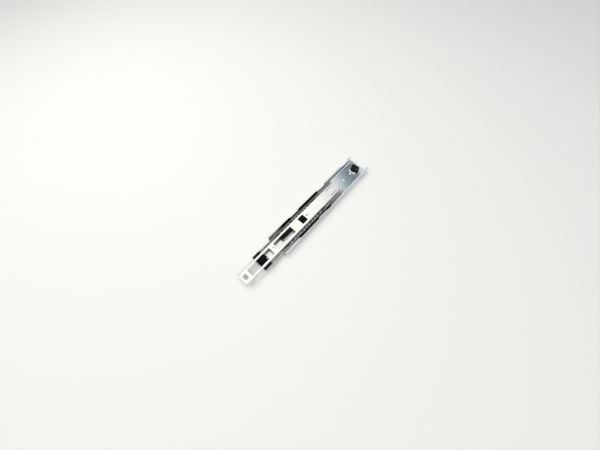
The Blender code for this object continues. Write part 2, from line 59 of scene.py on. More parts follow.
# Meshing: distances under which points count as one, in metres and in a pattern's millimetres, and angles
SAME_POINT = 0.02 * MM
SAME_PATTERN_POINT = 1e-4
FLAT_ENOUGH = 0.4
EASE_FROM_ANGLE = 32.0

# Cabinet member
WALL_DROP = 0.5 * MM
BEAD_RADIUS = 1.5 * MM
LIP_REACH = 2.6 * MM
LIP_BEND = 0.9 * MM
LIP_LEAN = 8.0
LIP_STUMP = 11.1 * MM
NOTCH_FLOOR = 7.0 * MM
NOTCH_CORNER = 0.4 * MM
NOTCHES = ((56.0 * MM, 79.4 * MM), (134.8 * MM, 158.2 * MM), (213.6 * MM, 237.0 * MM))
LIP_RELIEFS = ((38.3 * MM, 91.0 * MM), (114.1 * MM, 125.6 * MM))
LIP_SLOT = (2.0 * MM, 13.0 * MM, 0.45 * MM)
SCREW_HOLE_RADIUS = 2.3 * MM
SCREW_HOLES = (37.0 * MM, 133.0 * MM, 197.0 * MM, 219.7 * MM)
STOP_TAB_RADIUS = 11.6 * MM
STOP_TAB_WIDTH = 1.1 * MM
STOP_TAB_HEIGHT = 2.2 * MM
STOP_TAB_ANGLE = 42.0
PEG_RADIUS = 1.9 * MM

# Intermediate member
ACCESS_HOLE = (162.0 * MM, 4.6 * MM)
STOP_PEG = (8.0 * MM, 6.0 * MM)

# Drawer member
INNER_BEND = 1.4 * MM
INNER_TURN = 0.9 * MM
SQUARE_HOLE = (3.8 * MM, 11.0 * MM, 4.8 * MM, 0.6 * MM)
OPENINGS = ((16.2 * MM, 67.6 * MM), (78.0 * MM, 122.0 * MM), (141.9 * MM, 155.3 * MM))
OPENING_SIDE_ROOM = 2.75 * MM
OPENING_CORNER = 1.0 * MM
LANCE = (72.8 * MM, 3.0 * MM, 0.45 * MM)
PIVOT_X = 160.3 * MM
SLITS = (223.0 * MM, 3.2 * MM, 0.55 * MM)

# Painted shade in the ball tracks between the members: the cage whose run it covers, two distances from
# the middle line, two heights
TRACK_SHADE_COLOUR = (0.035, 0.037, 0.038)
TRACK_SHADE_FADE = 0.35 * MM
TRACK_SHADE_RUN = 18.0 * MM
TRACK_SHADE_STREAK = (0.004, 0.0006, 0.0006)
CAGE_TRACK_SHADE = (("inner_ball_retainer", 12.4 * MM, 16.0 * MM, 0.0, 12.0 * MM),)
DRAWER_TRACK_SHADE = (("inner_ball_retainer", 8.0 * MM, 13.0 * MM, 0.0, 9.6 * MM),)
MID_TRACK_SHADE = (("inner_ball_retainer", 11.0 * MM, 15.3 * MM, 0.0, 9.6 * MM),
              ("outer_ball_retainer", 16.5 * MM, 20.0 * MM, 0.0, 9.3 * MM))
CABINET_TRACK_SHADE = (("outer_ball_retainer", 17.6 * MM, 21.7 * MM, 0.0, 8.5 * MM),)

# Ball retainers
CAGE_SHEET = 0.6 * MM
CAGE_BEND = 0.9 * MM
CAGE_EDGE = 0.08 * MM
RAIL_CHAMFER = (0.9 * MM, 1.5 * MM)
RAIL_WAIST = (8.0 * MM, 3.2 * MM, 0.8 * MM)
RAIL_EDGE = 0.12 * MM

# Front stop, rear bumper, lever and rivet
STOP_LENGTH = 15.8 * MM
STOP_FLOOR = 0.9 * MM
STOP_CAP = 1.0 * MM
STOP_OVER_RIVET = 0.3 * MM
INNER_HALF = 12.01 * MM
SADDLE_FRONT = 0.4 * MM
SADDLE_SIDE_ROOM = 0.5 * MM
SADDLE_ROUND = 5.0 * MM
SADDLE_STEPS = 24
GATE_WIDTH = 3.0 * MM
GATE_EDGE_Y = 0.05 * MM
CRESCENT = (8.0 * MM, 5.8 * MM, 0.9 * MM, 0.8 * MM)
CRESCENT_SPAN = (125, 235)
GROOVE_ROUND = 0.45
MOULDED_EDGE = 0.3 * MM
BUMPER_ROUND = 2.4 * MM
BUMPER_EDGE = 0.28 * MM
BUMPER_GROOVES = 6
BUMPER_GROOVE = 0.9 * MM
BUMPER_RIM = 1.3 * MM
LEVER_THICKNESS = 3.0 * MM
LEVER_FAR_ROOM = 2.7 * MM
LEVER_NEAR_ROOM = 4.3 * MM
LEVER_TIP_Y = 0.8 * MM
LEVER_CORNER_IN = 0.6 * MM
LEVER_KNEE = (127.0 * MM, -0.6 * MM)
LEVER_HEEL_X = 148.0 * MM
LEVER_NECK_Y = -3.9 * MM
LEVER_BOSS_RADIUS = 5.0 * MM
HOOK_X = 144.1 * MM
HOOK_Y = 0.25 * MM
HOOK_LENGTH = 2.5 * MM
HOOK_WIDTH = 1.8 * MM
SPRING_ROOT = (3.0 * MM, 3.0 * MM)
SPRING_ROOMS = (4.9 * MM, 3.7 * MM)
SPRING_LENGTH = 17.0 * MM
SPRING_THICKNESS = 1.0 * MM
GRIP_GROOVES = 5
GRIP_START = 2.2 * MM
GRIP_PITCH = 1.9 * MM
GRIP_WIDTH = 0.7 * MM
RIVET_RADIUS = 1.4 * MM
RIVET_HEAD = 0.6 * MM
RIVET_CROWN = 0.25 * MM

# Textures: the size of their features along x, y and z, in metres
CLOUDS = (0.030, 0.018, 0.018)
DRAWN_LINES = (0.020, 0.00022, 0.00022)
CRYSTALS = (0.0006, 0.0006, 0.0006)
FILM = (0.0016, 0.0016, 0.0016)
SCUFFS = (0.006, 0.0012, 0.003)
FIBRES = (0.0015, 0.0015, 0.0015)

# Steels: two tints, smoothest and roughest
BRIGHT_ZINC = ((0.82, 0.85, 0.88), (0.90, 0.90, 0.87), 0.17, 0.30)
# The middle member's zinc: the same zinc made darker, painted shade for its dim channel
SHADED_MIDDLE_ZINC = ((0.68, 0.73, 0.78), (0.76, 0.77, 0.75), 0.17, 0.30)
BLUE_ZINC = ((0.74, 0.82, 0.87), (0.87, 0.88, 0.86), 0.06, 0.11)
CAGE_STEEL = ((0.84, 0.85, 0.87), (0.88, 0.87, 0.85), 0.30, 0.45)
RIVET_STEEL = ((0.55, 0.56, 0.58), (0.60, 0.59, 0.57), 0.25, 0.40)
BALL_STEEL = ((0.83, 0.84, 0.86), (0.70, 0.69, 0.64), 0.05, 0.22)
CAGE_METALLIC = 0.5

# Mouldings: colour, scuff, edge colour painted lighter (part wear, part painted highlight), smoothest,
# roughest and grain
BLACK_PLASTIC = ((0.002, 0.002, 0.0025), (0.009, 0.009, 0.010), (0.012, 0.012, 0.013), 0.22, 0.36,
                 0.35 * MM)
# The rubber's edge colour is mostly a painted highlight along its ribs
BLACK_RUBBER = ((0.003, 0.003, 0.003), (0.012, 0.012, 0.012), (0.16, 0.16, 0.16), 0.36, 0.55, 0.5 * MM)
MOULDED_SPECULAR = 0.05

# Studio: each softbox has its place, its aim, its width and height, its watts and its colour
KEY_SOFTBOX = ((-0.15, 0.85, 0.95), (-0.04, 0.0, 0.0), 0.9, 0.7, 4.0, (1.0, 0.985, 0.96))
OVERHEAD_SOFTBOX = ((-0.2, 0.0, 1.6), (-0.2, 0.0, 0.0), 2.0, 2.0, 11.6, (1.0, 0.995, 0.98))
RANGE_ENDS = ("From Min", "From Max", "To Min", "To Max")
FLOOR_HALF = 3.0
FLOOR_DROP = 0.05 * MM
FLOOR_COLOUR = (0.88, 0.87, 0.85)
SKY = ((0.0, (0.85, 0.87, 0.88)), (0.855, (0.85, 0.87, 0.92)), (0.863, (0.06, 0.08, 0.09)),
       (0.885, (0.10, 0.15, 0.18)), (0.905, (0.30, 0.38, 0.44)), (0.925, (0.66, 0.69, 0.70)),
       (0.965, (1.08, 1.08, 1.05)), (1.0, (1.14, 1.14, 1.10)))
SKY_LEAN = 0.5
SKY_DUSK = (0.50, 0.72, 0.13, 1.0)
CAMERA_AZIMUTH = math.radians(41.67)
CAMERA_ELEVATION = math.radians(64.99)
CAMERA_AIM = (-0.0644, -0.0001, 0.0)
CAMERA_DISTANCE = 0.4064
LENS = 12.95


def centre_of(node):
    low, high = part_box(node)
    return (low + high) / 2


OUTER_LOW, OUTER_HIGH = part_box("outer_member")
MID_LOW, MID_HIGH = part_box("intermediate_member")
INNER_LOW, INNER_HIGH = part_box("inner_member")
BALL_RADIUS = (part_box("outer_ball_left_01")[1].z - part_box("outer_ball_left_01")[0].z) / 2
OUTER_ROW = (centre_of("outer_ball_left_01").y, centre_of("outer_ball_left_01").z)
INNER_ROW = (centre_of("inner_ball_left_01").y, centre_of("inner_ball_left_01").z)

WALL_HEIGHT = INNER_HIGH.z - WALL_DROP
WALL_LINE = OUTER_HIGH.y - SHEET / 2 - WALL_INSET
RACE_LINE = BALL_RADIUS + RACE_GAP + SHEET / 2
CORNER_RADIUS = OUTER_ROW[1] - SHEET / 2
MID_WEB_Z = MID_LOW.z + SHEET / 2
MID_BEND = OUTER_ROW[1] - MID_WEB_Z
INNER_WEB_Z = INNER_HIGH.z - SHEET / 2
INNER_CLEAR = INNER_ROW[0] - RACE_LINE - SHEET / 2


# --- outlines ---------------------------------------------------------------------------------------

def arc(centre, radius, start, end, step=9.0):
    """Points on an arc about centre, angles in degrees, both ends included."""
    count = max(1, round(abs(end - start) / step))
    points = []
    for i in range(count + 1):
        angle = math.radians(start + (end - start) * i / count)
        points.append((centre[0] + radius * math.cos(angle), centre[1] + radius * math.sin(angle)))
    return points


def without_repeats(points):
    """The points, less each one that all but coincides with the one before it."""
    kept = [points[0]]
    for point in points[1:]:
        if math.dist(point, kept[-1]) > SAME_POINT:
            kept.append(point)
    return kept


def mirrored(path):
    """A half path that starts at y = 0, continued to the other side."""
    return [(-y, z) for y, z in reversed(path)] + path[1:]


def strip_outline(path, thickness):
    """The closed outline of a strip of the given thickness whose middle follows the path."""
    path = without_repeats(path)
    left, right = [], []
    for i, point in enumerate(path):
        before = Vector(path[max(i - 1, 0)])
        after = Vector(path[min(i + 1, len(path) - 1)])
        here = Vector(point)
        into = (here - before).normalized() if i else (after - here).normalized()
        out = (after - here).normalized() if i < len(path) - 1 else into
        normal = Vector((-into.y - out.y, into.x + out.x)).normalized()
        reach = thickness / 2 / normal.dot(Vector((-into.y, into.x)))
        left.append(tuple(here + normal * reach))
        right.append(tuple(here - normal * reach))
    return right + left[::-1]


def rounded_box(x0, x1, y0, y1, radius, step=15.0):
    corners = ((x1 - radius, y0 + radius, -90), (x1 - radius, y1 - radius, 0),
               (x0 + radius, y1 - radius, 90), (x0 + radius, y0 + radius, 180))
    points = []
    for x, y, start in corners:
        points += arc((x, y), radius, start, start + 90, step)
    return without_repeats(points)


def circle(x, y, radius, steps=40):
    return arc((x, y), radius, 0, 360 - 360 / steps, 360 / steps)


# --- cross sections ---------------------------------------------------------------------------------

def cabinet_half(lip):
    row = OUTER_ROW
    corner = (WALL_LINE - CORNER_RADIUS, SHEET / 2 + CORNER_RADIUS)
    wrap = math.radians(RACE_WRAP)
    bead_y = row[0] + (RACE_LINE + BEAD_RADIUS) * math.cos(wrap)
    bead_z = row[1] + (RACE_LINE + BEAD_RADIUS) * math.sin(wrap)
    path = [(0.0, SHEET / 2)]
    path += arc(corner, CORNER_RADIUS, -90, 0)
    path += arc(row, RACE_LINE, 0, RACE_WRAP)
    path += arc((bead_y, bead_z), BEAD_RADIUS, 180 + RACE_WRAP, 180 - RACE_WRAP)
    path += arc((row[0], 2 * bead_z - row[1]), RACE_LINE, -RACE_WRAP, 0)
    if not lip:
        return path + [(WALL_LINE, WALL_HEIGHT)]
    lean = math.radians(LIP_LEAN)
    tip = (OUTER_HIGH.y - LIP_REACH, WALL_HEIGHT - SHEET / 2)
    bend_y = WALL_LINE - LIP_BEND
    shoulder = bend_y + LIP_BEND * math.sin(lean)
    bend_z = tip[1] - (shoulder - tip[0]) * math.tan(lean) - LIP_BEND * math.cos(lean)
    path += arc((bend_y, bend_z), LIP_BEND, 0, 90 - LIP_LEAN)
    return path + [tip]


def mid_half():
    path = [(0.0, MID_WEB_Z)]
    path += arc((OUTER_ROW[0] - RACE_LINE - MID_BEND, OUTER_ROW[1]), MID_BEND, -90, 0)
    path += arc(OUTER_ROW, RACE_LINE, 180, 180 - ROW_STEP_ANGLE)
    path += arc(INNER_ROW, RACE_LINE, -ROW_STEP_ANGLE, CURL_WRAP)
    return path


def inner_half():
    wrap = math.radians(RACE_WRAP)
    race_top_y = INNER_ROW[0] - RACE_LINE * math.cos(wrap)
    race_top_z = INNER_ROW[1] + RACE_LINE * math.sin(wrap)
    shoulder_y = race_top_y + INNER_TURN * (1 - math.cos(wrap))
    turn_z = race_top_z + INNER_TURN * math.sin(wrap)
    path = [(0.0, INNER_WEB_Z)]
    path += arc((shoulder_y - INNER_BEND, INNER_WEB_Z - INNER_BEND), INNER_BEND, 90, 0)
    path += arc((shoulder_y - INNER_TURN, turn_z), INNER_TURN, 0, -RACE_WRAP)
    path += arc(INNER_ROW, RACE_LINE, 180 - RACE_WRAP, 180 + RACE_WRAP)
    return path


class Section:
    """A bent sheet's middle line, with the distance along it counted from the middle of its web."""

    def __init__(self, path):
        self.points = without_repeats(path)
        run = [0.0]
        for a, b in zip(self.points, self.points[1:]):
            run.append(run[-1] + math.dist(a, b))
        middle = min(range(len(run)), key=lambda i: abs(self.points[i][0]))
        self.runs = [r - run[middle] for r in run]

    def place(self, run):
        """The point on the middle line at that distance."""
        i = 1
        while i < len(self.runs) - 1 and run > self.runs[i]:
            i += 1
        share = (run - self.runs[i - 1]) / (self.runs[i] - self.runs[i - 1])
        return Vector(self.points[i - 1]).lerp(Vector(self.points[i]), share)

    def run_at_height(self, z, side):
        """The distance at which the outermost wall on that side crosses the height z."""
        found = []
        for i in range(len(self.points) - 1):
            low, high = sorted((self.points[i][1], self.points[i + 1][1]))
            if self.points[i][0] * side > 0 and low <= z <= high and high > low:
                share = (z - self.points[i][1]) / (self.points[i + 1][1] - self.points[i][1])
                found.append(self.runs[i] + share * (self.runs[i + 1] - self.runs[i]))
        return max(found, key=lambda r: r * side)


# --- meshes -----------------------------------------------------------------------------------------

def inside(point, polygon):
    x, y = point
    odd = False
    for (x0, y0), (x1, y1) in zip(polygon, polygon[1:] + polygon[:1]):
        if (y0 > y) != (y1 > y) and x < (x1 - x0) * (y - y0) / (y1 - y0) + x0:
            odd = not odd
    return odd


def flat_pattern(section, x0, x1, cutouts):
    """The blank of a bent sheet as triangles in (x, run), in millimetres, less its cut-outs."""
    points, edges = [], []

    def add_loop(loop, closed=True):
        start = len(points)
        points.extend(Vector((x / MM, r / MM)) for x, r in loop)
        count = len(loop)
        sides = count if closed else count - 1
        edges.extend((start + i, start + (i + 1) % count) for i in range(sides))

    first, last = section.runs[0], section.runs[-1]
    add_loop([(x0, first), (x1, first), (x1, last), (x0, last)])
    for run in section.runs[1:-1]:
        add_loop([(x0, run), (x1, run)], closed=False)
    for cutout in cutouts:
        add_loop(cutout)
    verts, _, faces, _, _, _ = delaunay_2d_cdt(points, edges, [], 0, SAME_PATTERN_POINT)
    holes = [[(x / MM, r / MM) for x, r in cutout] for cutout in cutouts]
    kept = []
    for face in faces:
        middle = sum((verts[i] for i in face), Vector((0.0, 0.0))) / len(face)
        if not any(inside(middle, hole) for hole in holes):
            kept.append(face)
    return verts, kept


def bent_sheet(name, section, x0, x1, cutouts, thickness, edge, extras=()):
    """A sheet-metal piece: a flat blank is cut, bent to the section, thickened and eased at its edges."""
    verts, faces = flat_pattern(section, x0, x1, cutouts)
    bm = bmesh.new()
    placed = []
    for v in verts:
        y, z = section.place(v.y * MM)
        placed.append(bm.verts.new((v.x * MM, y, z)))
    for face in faces:
        bm.faces.new([placed[i] for i in face])
    bmesh.ops.delete(bm, geom=[v for v in bm.verts if not v.link_faces], context="VERTS")
    bmesh.ops.dissolve_limit(bm, angle_limit=math.radians(FLAT_ENOUGH), verts=bm.verts[:],
                             edges=bm.edges[:])
    bmesh.ops.recalc_face_normals(bm, faces=bm.faces[:])
    piece = new_piece(name, bm)
    solidify = piece.modifiers.new("Sheet", "SOLIDIFY")
    solidify.thickness = thickness
    solidify.offset = 0.0
    solidify.use_even_offset = True
    bake_shape(piece)
    bm = bmesh.new()
    bm.from_mesh(piece.data)
    for prism in extras:
        add_prism(bm, *prism)
    bm.to_mesh(piece.data)
    bm.free()
    ease_edges(piece, edge)
    return piece


def new_piece(name, bm):
    mesh = bpy.data.meshes.new(name)
    bm.to_mesh(mesh)
    bm.free()
    piece = bpy.data.objects.new(name, mesh)
    bpy.context.scene.collection.objects.link(piece)
    return piece


def ease_edges(piece, width, segments=2):
    bevel = piece.modifiers.new("Eased edges", "BEVEL")
    bevel.width = width
    bevel.segments = segments
    bevel.limit_method = "ANGLE"
    bevel.angle_limit = math.radians(EASE_FROM_ANGLE)
    bevel.use_clamp_overlap = False
    piece.data.shade_smooth()
    piece.modifiers.new("Even shading", "WEIGHTED_NORMAL").keep_sharp = True


def bake_shape(piece):
    """Turns the piece's modifiers into plain mesh, in place."""
    bpy.context.view_layer.update()
    evaluated = piece.evaluated_get(bpy.context.evaluated_depsgraph_get())
    mesh = bpy.data.meshes.new_from_object(evaluated)
    piece.modifiers.clear()
    piece.data = mesh


def add_prism(bm, outline, low, high, axis="z"):
    """Adds a closed prism. The outline lies across the axis: (y, z), (x, z) or (x, y)."""
    def place(point, level):
        spot = list(point)
        spot.insert("xyz".index(axis), level)
        return spot

    bottom = [bm.verts.new(place(p, low)) for p in outline]
    top = [bm.verts.new(place(p, high)) for p in outline]
    bm.faces.new(bottom[::-1])
    bm.faces.new(top)
    for i in range(len(outline)):
        j = (i + 1) % len(outline)
        bm.faces.new((bottom[i], bottom[j], top[j], top[i]))
    bmesh.ops.recalc_face_normals(bm, faces=bm.faces[:])


def shaped(name, solid, steps):
    """One solid from prisms, each (outline, low, high, axis).

    A step joins on, or cuts away, prisms that stand apart from each other.
    """
    bm = bmesh.new()
    add_prism(bm, *solid)
    piece = new_piece(name, bm)
    for operation, prisms in steps:
        bm = bmesh.new()
        for prism in prisms:
            add_prism(bm, *prism)
        tool = new_piece("tool", bm)
        modifier = piece.modifiers.new("Shape", "BOOLEAN")
        modifier.operation = operation
        modifier.solver = "EXACT"
        modifier.object = tool
        bake_shape(piece)
        bpy.data.objects.remove(tool)
    return piece


def finish_piece(piece, body, slot, material, *nodes):
    """Gives the piece its finish, and hangs it on its body in place of the CAD nodes."""
    bake_shape(piece)
    piece.data.materials.clear()
    piece.data.materials.append(material)
    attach(piece, body)
    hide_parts(*nodes)


# --- materials --------------------------------------------------------------------------------------

class Finish:
    """A Principled material under construction, with short ways to add the textures it is made of."""

    def __init__(self, name, colour, roughness, metallic):
        self.material = bpy.data.materials.new(name)
        self.material.use_nodes = True
        self.tree = self.material.node_tree
        self.shader = self.tree.nodes["Principled BSDF"]
        self.shader.inputs["Base Color"].default_value = (*colour, 1.0)
        self.shader.inputs["Roughness"].default_value = roughness
        self.shader.inputs["Metallic"].default_value = metallic
        self.place = self.tree.nodes.new("ShaderNodeTexCoord").outputs["Object"]

    def link(self, out, into):
        self.tree.links.new(out, into)

    def noise(self, size, detail=3.0, roughness=0.5):
        """Noise whose features are about size metres along x, y and z."""
        mapping = self.tree.nodes.new("ShaderNodeMapping")
        mapping.inputs["Scale"].default_value = [1.0 / s for s in size]
        self.link(self.place, mapping.inputs["Vector"])
        noise = self.tree.nodes.new("ShaderNodeTexNoise")
        noise.inputs["Scale"].default_value = 1.0
        noise.inputs["Detail"].default_value = detail
        noise.inputs["Roughness"].default_value = roughness
        self.link(mapping.outputs["Vector"], noise.inputs["Vector"])
        return noise.outputs["Fac"]

    def spread(self, value, low, high, to_low, to_high):
        """The value's stretch from low to high, made to run from to_low to to_high."""
        node = self.tree.nodes.new("ShaderNodeMapRange")
        for name, number in zip(RANGE_ENDS, (low, high, to_low, to_high)):
            node.inputs[name].default_value = number
        self.link(value, node.inputs["Value"])
        return node.outputs["Result"]

    def blend(self, share, first, second):
        """A colour between two, which may be colours or other nodes' outputs."""
        node = self.tree.nodes.new("ShaderNodeMix")
        node.data_type = "RGBA"
        self.link(share, node.inputs["Factor"])
        for source, socket in ((first, node.inputs[6]), (second, node.inputs[7])):
            if isinstance(source, tuple):
                socket.default_value = (*source, 1.0)
            else:
                self.link(source, socket)
        return node.outputs[2]

    def maths(self, operation, first, second=0.0):
        """One sum on an output, with a number or with another output."""
        node = self.tree.nodes.new("ShaderNodeMath")
        node.operation = operation
        self.link(first, node.inputs[0])
        if isinstance(second, float):
            node.inputs[1].default_value = second
        else:
            self.link(second, node.inputs[1])
        return node.outputs[0]

    def add(self, first, second):
        return self.maths("ADD", first, second)

    def times(self, first, second):
        return self.maths("MULTIPLY", first, second)

    def band(self, value, low, high, fade):
        """One from low to high, and fading to nothing beyond them."""
        return self.times(self.spread(value, low - fade, low, 0.0, 1.0),
                          self.spread(value, high, high + fade, 1.0, 0.0))

    def relief(self, height, strength, depth):
        bump = self.tree.nodes.new("ShaderNodeBump")
        bump.inputs["Strength"].default_value = strength
        bump.inputs["Distance"].default_value = depth
        self.link(height, bump.inputs["Height"])
        self.link(bump.outputs["Normal"], self.shader.inputs["Normal"])

    def edges(self, low=0.51, high=0.56):
        """How far a spot stands on an outer edge, from 0 to 1."""
        geometry = self.tree.nodes.new("ShaderNodeNewGeometry")
        return self.spread(geometry.outputs["Pointiness"], low, high, 0.0, 1.0)

    def paint_track_shade(self, skin, cage, inner, outer, floor, ceiling):
        """Painted shade in the ball tracks between the members, over the cage's run: two distances from
        the middle line, and two heights.
        """
        split = self.tree.nodes.new("ShaderNodeSeparateXYZ")
        self.link(self.place, split.inputs[0])
        low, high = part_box(cage)
        across = self.maths("ABSOLUTE", split.outputs["Y"])
        reach = self.band(across, inner, outer, TRACK_SHADE_FADE)
        depth = self.band(split.outputs["Z"], floor, ceiling, TRACK_SHADE_FADE)
        rolled = self.band(split.outputs["X"], low.x, high.x, TRACK_SHADE_RUN)
        streaks = self.spread(self.noise(TRACK_SHADE_STREAK), 0.35, 0.60, 0.7, 1.0)
        share = self.times(self.times(reach, depth), self.times(rolled, streaks))
        # Painted shade: the colour goes to near black in the tracks between the members
        return self.blend(share, skin, TRACK_SHADE_COLOUR)

    def colour(self, out):
        self.link(out, self.shader.inputs["Base Color"])

    def roughness(self, out):
        self.link(out, self.shader.inputs["Roughness"])


def plated_steel(name, cool, warm, smoothest, roughest, shaded_tracks=(), metallic=1.0):
    """Bright zinc on rolled strip: tinted clouds, fine drawn lines along x, rubbed edges, and painted
    shade in the ball tracks.
    """
    finish = Finish(name, cool, smoothest, metallic)
    clouds = finish.noise(CLOUDS, 4.0)
    lines = finish.noise(DRAWN_LINES)
    crystals = finish.noise(CRYSTALS, 2.0)
    tint = finish.blend(finish.spread(clouds, 0.38, 0.62, 0.0, 1.0), cool, warm)
    worn = tuple(min(1.0, c * 1.06) for c in warm)
    skin = finish.blend(finish.edges(), tint, worn)
    # Painted shade in each listed ball track
    for track in shaded_tracks:
        skin = finish.paint_track_shade(skin, *track)
    finish.colour(skin)
    grain = finish.spread(lines, 0.30, 0.70, smoothest, roughest)
    speckle = finish.spread(crystals, 0.35, 0.65, -0.02, 0.03)
    haze = finish.spread(clouds, 0.35, 0.70, -0.02, 0.04)
    finish.roughness(finish.add(finish.add(grain, speckle), haze))
    finish.relief(finish.add(lines, finish.times(crystals, 0.4)), 0.10, 0.02 * MM)
    return finish.material


def ball_steel(name, bright, dulled, smoothest, roughest):
    """Polished balls with a thin film of oil that dulls them in places."""
    finish = Finish(name, bright, smoothest, 1.0)
    film = finish.noise(FILM)
    finish.roughness(finish.spread(film, 0.40, 0.68, smoothest, roughest))
    finish.colour(finish.blend(finish.spread(film, 0.45, 0.70, 0.0, 0.6), bright, dulled))
    finish.relief(film, 0.03, 0.02 * MM)
    return finish.material


def moulded(name, colour, scuff, rim_wear_and_highlight, smoothest, roughest, grain):
    """Black moulding: a fine eroded skin, faint scuffs, and edges painted lighter, part wear and part
    painted highlight.
    """
    finish = Finish(name, colour, smoothest, 0.0)
    finish.shader.inputs["Specular IOR Level"].default_value = MOULDED_SPECULAR
    skin = finish.noise((grain, grain, grain), 2.0)
    scuffs = finish.noise(SCUFFS, 5.0, 0.65)
    rubbed = finish.blend(finish.spread(scuffs, 0.56, 0.72, 0.0, 0.7), colour, scuff)
    # Edges lighter in the colour: part wear, part painted highlight
    finish.colour(finish.blend(finish.edges(0.52, 0.60), rubbed, rim_wear_and_highlight))
    finish.roughness(finish.add(finish.spread(scuffs, 0.35, 0.70, smoothest, roughest),
                                finish.spread(skin, 0.3, 0.7, -0.02, 0.05)))
    finish.relief(skin, 0.16, 0.04 * MM)
    return finish.material


# --- pieces -----------------------------------------------------------------------------------------

def web_box(x0, x1, half_width, radius):
    return rounded_box(x0, x1, -half_width, half_width, radius)


def lip_nick(front, edge):
    """A shallow nick with round ends in the lip's edge."""
    start, end, depth = LIP_SLOT
    return (arc((front + start + depth, edge), depth, 180, 90)
            + arc((front + end - depth, edge), depth, 90, 0))


def stop_tab(x):
    """The raised arc in front of the bumper, as a prism."""
    line = arc((x, 0.0), STOP_TAB_RADIUS, 180 - STOP_TAB_ANGLE, 180 + STOP_TAB_ANGLE, 4.0)
    return strip_outline(line, STOP_TAB_WIDTH), SHEET / 2, SHEET + STOP_TAB_HEIGHT, "z"


def cabinet_member(zinc):
    left = [(-y, z) for y, z in reversed(cabinet_half(lip=True))]
    section = Section(left + cabinet_half(lip=False)[1:])
    front, first, last = OUTER_LOW.x, section.runs[0], section.runs[-1]
    floor = section.run_at_height(NOTCH_FLOOR, 1)
    stump = section.run_at_height(LIP_STUMP, -1)
    cutouts = [rounded_box(front + a, front + b, floor, last + NOTCH_CORNER, NOTCH_CORNER)
               for a, b in NOTCHES]
    cutouts = [[(x, min(r, last)) for x, r in cut] for cut in cutouts]
    for a, b in LIP_RELIEFS:
        cutouts.append([(front + a, first), (front + b, first), (front + b, stump), (front + a, stump)])
    cutouts.append(lip_nick(front, first))
    cutouts += [circle(front + x, 0.0, SCREW_HOLE_RADIUS) for x in SCREW_HOLES]
    peg_x = centre_of("rear_bumper").x
    cutouts.append(circle(peg_x, 0.0, PEG_RADIUS + GAP))
    piece = bent_sheet("cabinet_channel", section, front, OUTER_HIGH.x, cutouts, SHEET, SHEET_EDGE,
                       [stop_tab(peg_x)])
    finish_piece(piece, "cabinet", "zinc_steel", zinc, "outer_member")


def intermediate_member(zinc):
    section = Section(mirrored(mid_half()))
    front = MID_LOW.x
    access_x, access_radius = ACCESS_HOLE
    peg_x, peg_y = STOP_PEG
    cutouts = [circle(front + access_x, 0.0, access_radius)]
    cutouts += [circle(front + peg_x, side * peg_y, PEG_RADIUS + GAP) for side in (-1, 1)]
    piece = bent_sheet("intermediate_channel", section, front, MID_HIGH.x, cutouts, SHEET, SHEET_EDGE)
    finish_piece(piece, "intermediate", "zinc_steel", zinc, "intermediate_member")


def drawer_member(zinc):
    section = Section(mirrored(inner_half()))
    front, rear = INNER_LOW.x, INNER_HIGH.x
    x0, x1, half_width, corner = SQUARE_HOLE
    cutouts = [web_box(front + x0, front + x1, half_width, corner)]
    for a, b in OPENINGS:
        cutouts.append(web_box(front + a, front + b, INNER_CLEAR - OPENING_SIDE_ROOM, OPENING_CORNER))
    lance_x, lance_radius, lance_half = LANCE
    cutouts.append(strip_outline(arc((front + lance_x, 0.0), lance_radius, -60, 120), 2 * lance_half))
    cutouts.append(circle(front + PIVOT_X, 0.0, RIVET_RADIUS + GAP))
    slit_start, slit_room, slit_half = SLITS
    for side in (-1, 1):
        y = side * (INNER_CLEAR - slit_room)
        root = arc((front + slit_start + slit_half, y), slit_half, 270, 90, 20.0)
        cutouts.append(root + [(rear, y + slit_half), (rear, y - slit_half)])
    piece = bent_sheet("drawer_profile", section, front, rear, cutouts, SHEET, SHEET_EDGE)
    finish_piece(piece, "drawer", "zinc_steel", zinc, "inner_member")


def row_centres(prefix):
    """The x of each ball in a row, front to back."""
    return sorted(centre_of(n).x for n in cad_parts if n.startswith(f"{prefix}_ball_left_"))


def inner_cage(steel):
    """A strip-steel cage: a flat web, folded-up sides, and a pocket open at the top round each ball."""
    low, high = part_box("inner_ball_retainer")
    row_y, row_z = INNER_ROW
    web_z = low.z + CAGE_SHEET / 2
    half = [(0.0, web_z)] + arc((row_y - CAGE_BEND, web_z + CAGE_BEND), CAGE_BEND, -90, 0, 15.0)
    section = Section(mirrored(half + [(row_y, high.z)]))
    edge = section.runs[-1]
    run = edge - (high.z - row_z)
    radius = BALL_RADIUS + RACE_GAP
    opening = math.degrees(math.asin((edge - run) / radius))
    cutouts = []
    for x in row_centres("inner"):
        pocket = arc((x, run), radius, 180 - opening, 360 + opening, 12.0)
        pocket = [(px, min(r, edge)) for px, r in pocket]
        cutouts += [pocket, [(px, -r) for px, r in pocket]]
    piece = bent_sheet("inner_cage_strip", section, low.x, high.x, cutouts, CAGE_SHEET, CAGE_EDGE)
    finish_piece(piece, "inner_cage", "retainer_steel", steel, "inner_ball_retainer")


